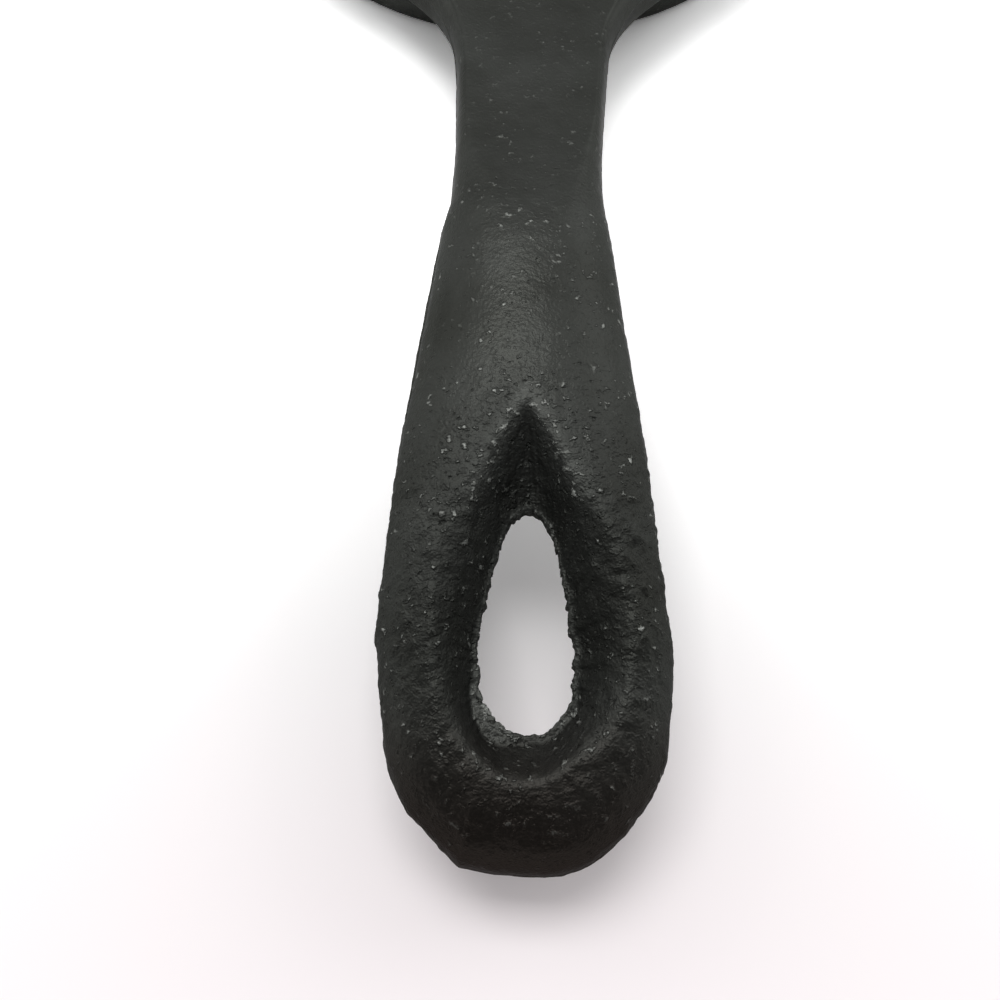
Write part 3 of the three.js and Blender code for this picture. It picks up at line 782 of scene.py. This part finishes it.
def ridge(node, line, half, height):
    """A round ridge carried along a line of points, half its width to each side. Near its ends the width
    runs down along a half circle. Across it the height falls as the root of 1 - w cubed, with a foot in
    the floor."""
    run = np.append(0, np.cumsum(np.hypot(*np.diff(line, axis=0).T)))
    way = np.gradient(line, run, axis=0)
    out = np.stack([way[:, 1], -way[:, 0]], 1) / np.linalg.norm(way, axis=1, keepdims=True)
    end = 1 - np.clip(np.minimum(run, run[-1] - run) / half, 0, 1)
    share = np.maximum(np.sqrt(1 - end**2), RIDGE_END)[:, None]
    across = RIDGE_REACH * np.sin(np.linspace(1, -1, RIDGE_GRID) * math.pi / 2)
    plan = line[:, None] + out[:, None] * (across * half * share)[..., None]
    fall = np.sqrt(np.clip(1 - np.abs(across) ** 3, 0, 1))
    rise = height * share * fall - SUNK * (np.abs(across) > 1)
    rise[[0, -1]] = -SUNK
    relief(node, plan, rise)


for node in ("left_eye", "right_eye", "upper_button", "middle_button", "lower_button"):
    dome(node)
turn = np.radians(90 + np.linspace(-SMILE_ANGLE, SMILE_ANGLE, SMILE_POINTS))
smile = np.stack([SMILE_RADIUS * np.cos(turn), HEAD[1] + SMILE_RADIUS * np.sin(turn)], 1)
ridge("smile", smile, SMILE_HALF_WIDTH, SMILE_RISE)

# Icing lines: a wavy ridge across each wrist and ankle
# Part of the same casting, as a piped line of sugar would lie. The left ones mirror the right ones.
WAVE_SWING, WAVES, WAVE_POINTS = 1.5, 3, 130
ICING_HALF_WIDTH, ICING_RISE = 1.6, 1.8
CUFF_LENGTH, CUFF_TURN = 23.6, math.pi / 2
ANKLE_LENGTH, ANKLE_TURN = 28.6, math.radians(19.87)


def icing(node, turn, length, hand):
    """A ridge along a sine wave. The wave runs on a straight line of a length through the middle of the
    node's box, turned by an angle."""
    low, high = (np.array(corner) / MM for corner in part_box(node))
    middle = (low + high) / 2
    share = np.linspace(-0.5, 0.5, WAVE_POINTS)
    wave = hand * WAVE_SWING * np.sin(math.tau * WAVES * (share + 0.5))
    c, s = math.cos(turn), math.sin(turn)
    x = middle[0] + c * length * share - s * wave
    y = middle[1] + s * length * share + c * wave
    ridge(node, np.stack([x, y], 1), ICING_HALF_WIDTH, ICING_RISE)


for side, hand in (("left", -1), ("right", 1)):
    icing(side + "_cuff", CUFF_TURN, CUFF_LENGTH, hand)
    icing(side + "_ankle_band", -hand * ANKLE_TURN, ANKLE_LENGTH, hand)

# Table: a plain white sheet that the pan stands on
# The floor carries the shadow. It and the surroundings look white to the camera and in reflections.
TABLE_HALF = 1500.0
LIGHTING_PAPER = (0.8, 0.8, 0.8, 1)
# Round the handle's tip the seen paper is painted with shade: darker, and pink in a wide oval
PINK_SHADE_PAPER = (0.91, 0.85, 0.865, 1)
PAPER = (0.98, 0.97, 0.97, 1)
FAR_PAPER = (1.9, 1.9, 1.9, 1)
PINK_MIDDLE, PINK_REACH, PINK_WIDTH = TIP - 12, 55, 2.5
NEAR_MIDDLE, NEAR_REACH, FAR_REACH = TIP - 40, 64, 148


def seen_directly(tree):
    """1 for what the camera sees straight, in a reflection or through glass, and 0 for lighting: the
    largest of the three kinds of ray."""
    rays = wire(tree, "LightPath", {})
    seen = {0: rays["Is Camera Ray"], 1: rays["Is Glossy Ray"]}
    either = wire(tree, "Math", seen, operation="MAXIMUM")[0]
    return wire(tree, "Math", {0: either, 1: rays["Is Transmission Ray"]}, operation="MAXIMUM")[0]


def white_table():
    """White paper. What is seen of it is brighter than the paper that lights the pan, so that it shows white
    outside the soft shadow. Near the handle's tip it is painted with shade: less bright, and a little pink in
    a wide oval there. Both change by the smoothstep of the distance."""
    material = bpy.data.materials.new("white_table")
    material.use_nodes = True
    tree = material.node_tree
    tree.nodes.clear()
    place = wire(tree, "TexCoord", {})["Object"]
    middle = {"Vector": place, "Location": (0, PINK_MIDDLE * MM, 0), "Scale": (PINK_WIDTH, 1, 1)}
    oval = wire(tree, "Mapping", middle, vector_type="TEXTURE")[0]
    out = wire(tree, "VectorMath", {0: oval}, operation="LENGTH")["Value"]
    away = wire(tree, "VectorMath", {0: place, 1: (0, NEAR_MIDDLE * MM, 0)}, operation="DISTANCE")["Value"]
    pink_shade = {0: out, 1: 0.0, 2: PINK_REACH * MM}
    near = {0: away, 1: NEAR_REACH * MM, 2: FAR_REACH * MM}
    clear, far = (wire(tree, "MapRange", way, interpolation_type="SMOOTHSTEP")[0] for way in (pink_shade, near))
    shade = wire(tree, "Mix", {0: clear, 6: PINK_SHADE_PAPER, 7: PAPER}, data_type="RGBA")[2]
    shade = wire(tree, "Mix", {0: far, 6: shade, 7: FAR_PAPER}, data_type="RGBA")[2]
    lighting = wire(tree, "BsdfDiffuse", {"Color": LIGHTING_PAPER})[0]
    seen = wire(tree, "BsdfDiffuse", {"Color": shade})[0]
    paper = wire(tree, "MixShader", {0: seen_directly(tree), 1: lighting, 2: seen})[0]
    wire(tree, "OutputMaterial", {"Surface": paper})
    return material


floor_mesh = bpy.data.meshes.new("table")
half = TABLE_HALF * MM
corners = [(-half, -half, 0), (half, -half, 0), (half, half, 0), (-half, half, 0)]
floor_mesh.from_pydata(corners, [], [(0, 1, 2, 3)])
floor_mesh.materials.append(white_table())
table = bpy.data.objects.new("table", floor_mesh)
bpy.context.scene.collection.objects.link(table)

# Room: white walls, a lighter ceiling and three soft lamps
# Its near side, beyond the handle's tip, is dark in reflections and gives less light. Heights in it are
# those of unit directions, and lamps are (name, place, width and length, power) in metres and watts.
WALL_LIGHT, CEILING_LIGHT = 0.75, 0.98
WALL_TOP, CEILING_EDGE = 0.15, 0.6
NEAR_SIDE = (0.06, -0.9, 0.43)
NEAR_SIDE_EDGE, NEAR_SIDE_MIDDLE = -0.3, 0.6
NEAR_SIDE_SHOWN, NEAR_SIDE_LIGHT = 0.05, 0.4
GRIP_MIDDLE = (0.0, (TIP + 45) * MM, (RIM + 4) * MM)
LAMPS = [
    ("window", (-0.09, 0.02, 0.69), (0.46, 0.24), 2.6),
    ("left_fill", (-0.5, 0.15, 0.39), (0.4, 0.4), 0.4),
    ("right_fill", (0.5, 0.15, 0.39), (0.4, 0.4), 0.8),
]


def white_room():
    """Strength of the room by direction: from the walls' light to the ceiling's by the smoothstep of height,
    dimmed towards the near side. Reflections show white with a dark near side, and the camera sees 1."""
    world = bpy.data.worlds.new("white_room")
    world.use_nodes = True
    tree = world.node_tree
    rays = wire(tree, "LightPath", {})
    direction = wire(tree, "TexCoord", {})["Generated"]
    height = wire(tree, "SeparateXYZ", {0: direction})["Z"]
    nearness = wire(tree, "VectorMath", {0: direction, 1: NEAR_SIDE}, operation="DOT_PRODUCT")["Value"]
    upward = {0: height, 1: WALL_TOP, 2: CEILING_EDGE, 3: WALL_LIGHT, 4: CEILING_LIGHT}
    walls = wire(tree, "MapRange", upward, interpolation_type="SMOOTHSTEP")[0]
    inward = {0: nearness, 1: NEAR_SIDE_EDGE, 2: NEAR_SIDE_MIDDLE, 3: 1.0, 4: NEAR_SIDE_SHOWN}
    reflected = wire(tree, "MapRange", inward, interpolation_type="SMOOTHSTEP")[0]
    dimmed = wire(tree, "MapRange", {0: reflected, 1: 0.0, 2: 1.0, 3: NEAR_SIDE_LIGHT, 4: 1.0})[0]
    lighting = wire(tree, "Math", {0: walls, 1: dimmed}, operation="MULTIPLY")[0]
    shown = wire(tree, "Mix", {0: rays["Is Glossy Ray"], 2: lighting, 3: reflected})[0]
    seen = wire(tree, "Mix", {0: rays["Is Camera Ray"], 2: shown, 3: 1.0})[0]
    tree.links.new(seen, tree.nodes["Background"].inputs["Strength"])
    tree.nodes["Background"].inputs["Color"].default_value = (1, 1, 1, 1)
    return world


def stand(thing, right, up, back, place):
    """Puts a lamp or a camera at a place in metres. Its own axes are the unit vectors right, up and back."""
    bpy.context.scene.collection.objects.link(thing)
    columns = np.stack([right, up, back, place], 1)
    thing.matrix_world = Matrix(np.vstack([columns, (0, 0, 0, 1)]).tolist())


def soft_light(name, place, size, power):
    """A rectangular area light at a place, which faces the middle of the grip."""
    lamp = bpy.data.lights.new(name, "AREA")
    lamp.shape = "RECTANGLE"
    lamp.size, lamp.size_y = size
    lamp.energy = power
    back = np.subtract(place, GRIP_MIDDLE)
    back /= np.linalg.norm(back)
    right = np.cross((0, 1, 0), back)
    right /= np.linalg.norm(right)
    stand(bpy.data.objects.new(name, lamp), right, np.cross(back, right), back, place)


bpy.context.scene.world = white_room()
for lamp in LAMPS:
    soft_light(*lamp)

# Camera: close above the grip, looking down it towards the pan
VIEW_DOWN = math.radians(70)
VIEW_ROLL = math.radians(0.81)
VIEW_DISTANCE = 106.72
VIEW_AIM = np.array([-2.44, TIP + 36.1, RIM - 2.0])
SENSOR_WIDTH = 36.0
LENS_IN_WIDTHS = 1.05
NEAREST = 5.0
camera = bpy.data.objects.new("camera", bpy.data.cameras.new("camera"))
camera.data.sensor_width = SENSOR_WIDTH
camera.data.lens = LENS_IN_WIDTHS * SENSOR_WIDTH
camera.data.clip_start = NEAREST * MM
back = np.array([0, -math.cos(VIEW_DOWN), math.sin(VIEW_DOWN)])
level, upright = np.array([1.0, 0, 0]), np.array([0, math.sin(VIEW_DOWN), math.cos(VIEW_DOWN)])
right = level * math.cos(VIEW_ROLL) + upright * math.sin(VIEW_ROLL)
up = upright * math.cos(VIEW_ROLL) - level * math.sin(VIEW_ROLL)
stand(camera, right, up, back, (VIEW_AIM + VIEW_DISTANCE * back) * MM)
bpy.context.scene.camera = camera
bpy.context.scene.view_settings.view_transform = "Standard"
